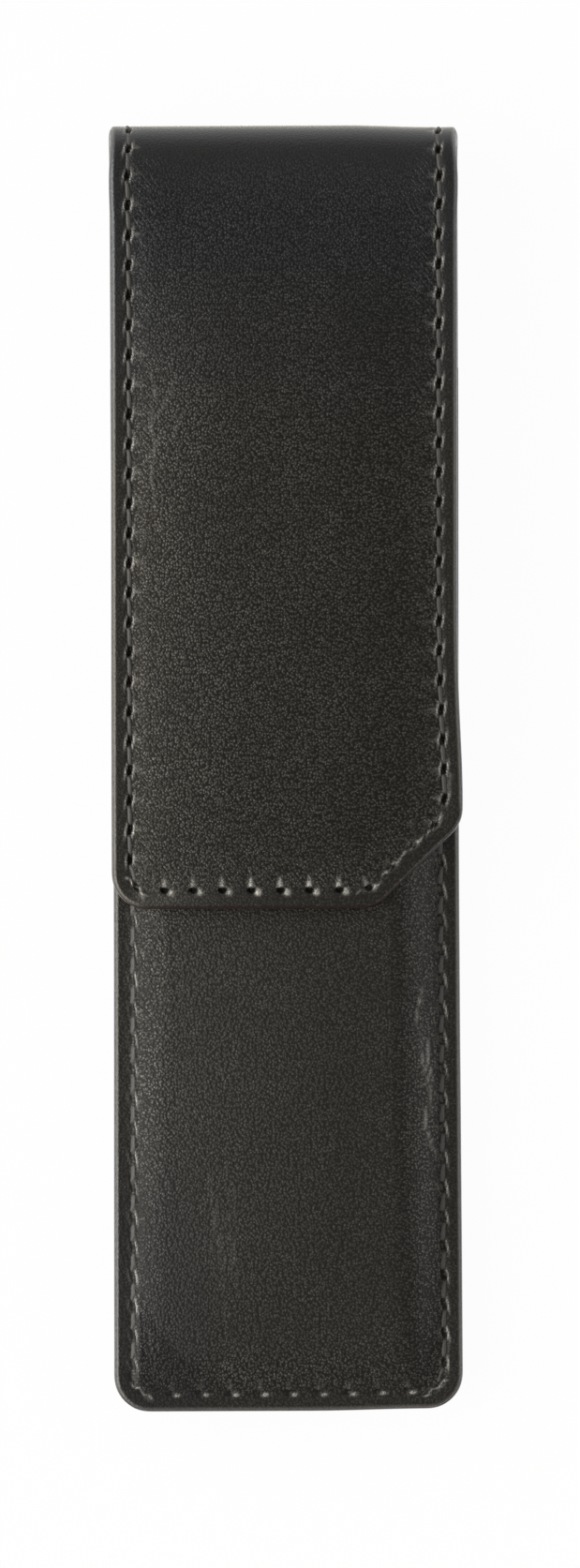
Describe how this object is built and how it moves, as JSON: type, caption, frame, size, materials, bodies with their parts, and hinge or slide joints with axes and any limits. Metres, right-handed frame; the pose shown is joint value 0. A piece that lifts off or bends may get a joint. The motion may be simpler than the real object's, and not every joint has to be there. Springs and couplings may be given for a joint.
{
  "type": "leather pen case",
  "caption": "Slim flat-sewn leather pen case: a domed pocket with a divider for pens, closed by a fold-over flap with a cut corner, a rounded spine and a hidden magnet closure.",
  "frame": {"origin": "centre of the outline, on the plane that the back rests on", "axes": "+Y along the case towards the spine, +X across it to the side of the flap's cut corner, +Z out of the front"},
  "size_m": [0.0434, 0.16, 0.0151],
  "materials": {
    "outer_leather": "smooth black calf leather, fine grain, semi-matt",
    "board": "pressed fibre stiffener board, raw",
    "felt": "thin soft grey felt",
    "lining": "black napped lining cloth",
    "divider_leather": "thin black split leather",
    "plated_steel": "nickel-plated steel",
    "thread": "waxed black thread"
  },
  "bodies": {
    "case": {"back_leather": "outer_leather", "back_board": "board", "back_lining": "lining", "front_leather": "outer_leather", "front_felt": "felt", "front_lining": "lining", "pen_divider": "divider_leather", "keeper_plate": "plated_steel", "front_seam_thread": "thread", "back_seam_thread": "thread", "back_lining_thread_left": "thread", "back_lining_thread_right": "thread"},
    "spine": {"spine_leather": "outer_leather", "spine_interlining": "felt", "spine_lining": "lining", "spine_thread_left": "thread", "spine_thread_right": "thread", "spine_lining_thread_left": "thread", "spine_lining_thread_right": "thread"},
    "flap": {"flap_leather": "outer_leather", "flap_board": "board", "flap_lining": "lining", "flap_magnet": "plated_steel", "flap_seam_thread": "thread", "flap_lining_thread": "thread"}
  },
  "joints": [
    {"name": "spine_fold", "type": "hinge", "parent": "case", "child": "spine", "pos_m": [0, 0.07801, 0.00199], "axis": [-1, 0, 0], "range_deg": [0, 90]},
    {"name": "flap_fold", "type": "hinge", "parent": "spine", "child": "flap", "pos_m": [0, 0.07801, 0.01291], "axis": [-1, 0, 0], "range_deg": [0, 90]}
  ],
  "couplings": [
    {"joint": "flap_fold", "follows": "spine_fold", "ratio": 1}
  ]
}
